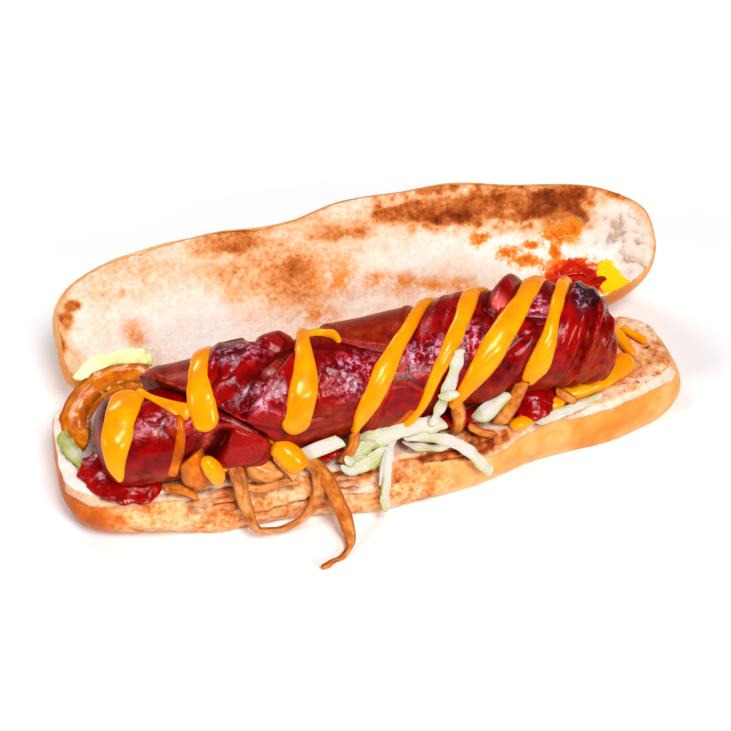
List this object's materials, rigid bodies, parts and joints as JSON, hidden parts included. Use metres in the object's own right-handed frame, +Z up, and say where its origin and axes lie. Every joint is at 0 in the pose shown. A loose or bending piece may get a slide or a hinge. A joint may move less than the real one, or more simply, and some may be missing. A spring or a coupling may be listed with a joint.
{
  "type": "hot dog",
  "caption": "Grilled sausage with slashes in an opened long roll, with mustard stripes, ketchup, fried onion strips and lettuce shreds.",
  "frame": {"origin": "on the table, under the middle of the whole object's bounding box", "axes": "+X along the roll, +Z up, -Y towards the open side, away from the fold; the upper half leans back towards +Y"},
  "size_m": [0.2026, 0.1218, 0.0536],
  "materials": {
    "bread": "soft baked crust, golden tan, with pale toasted crumb",
    "sausage": "wet grilled skin, deep red brown, with yellow mustard",
    "onion": "fried onion, translucent brown orange",
    "lettuce": "shredded iceberg lettuce, pale green to white"
  },
  "bodies": {
    "root": {"bun": "bread", "sausage": "sausage", "sausage_end": "sausage", "onion_ring": "onion", "onion_loop": "onion", "onion_tail": "onion", "onion_strand": "onion", "onion_slice": "onion", "onion_strip": "onion", "onion_petal": "onion", "onion_chunk": "onion", "onion_flake": "onion", "onion_shaving": "onion", "onion_scrap": "onion", "onion_curl": "onion", "onion_shred": "onion", "lettuce_sprig": "lettuce", "lettuce_shred": "lettuce", "lettuce_rib": "lettuce", "lettuce_left": "lettuce", "lettuce_back": "lettuce", "lettuce_heap": "lettuce", "lettuce_curl": "lettuce", "lettuce_sliver": "lettuce"}
  },
  "joints": []
}
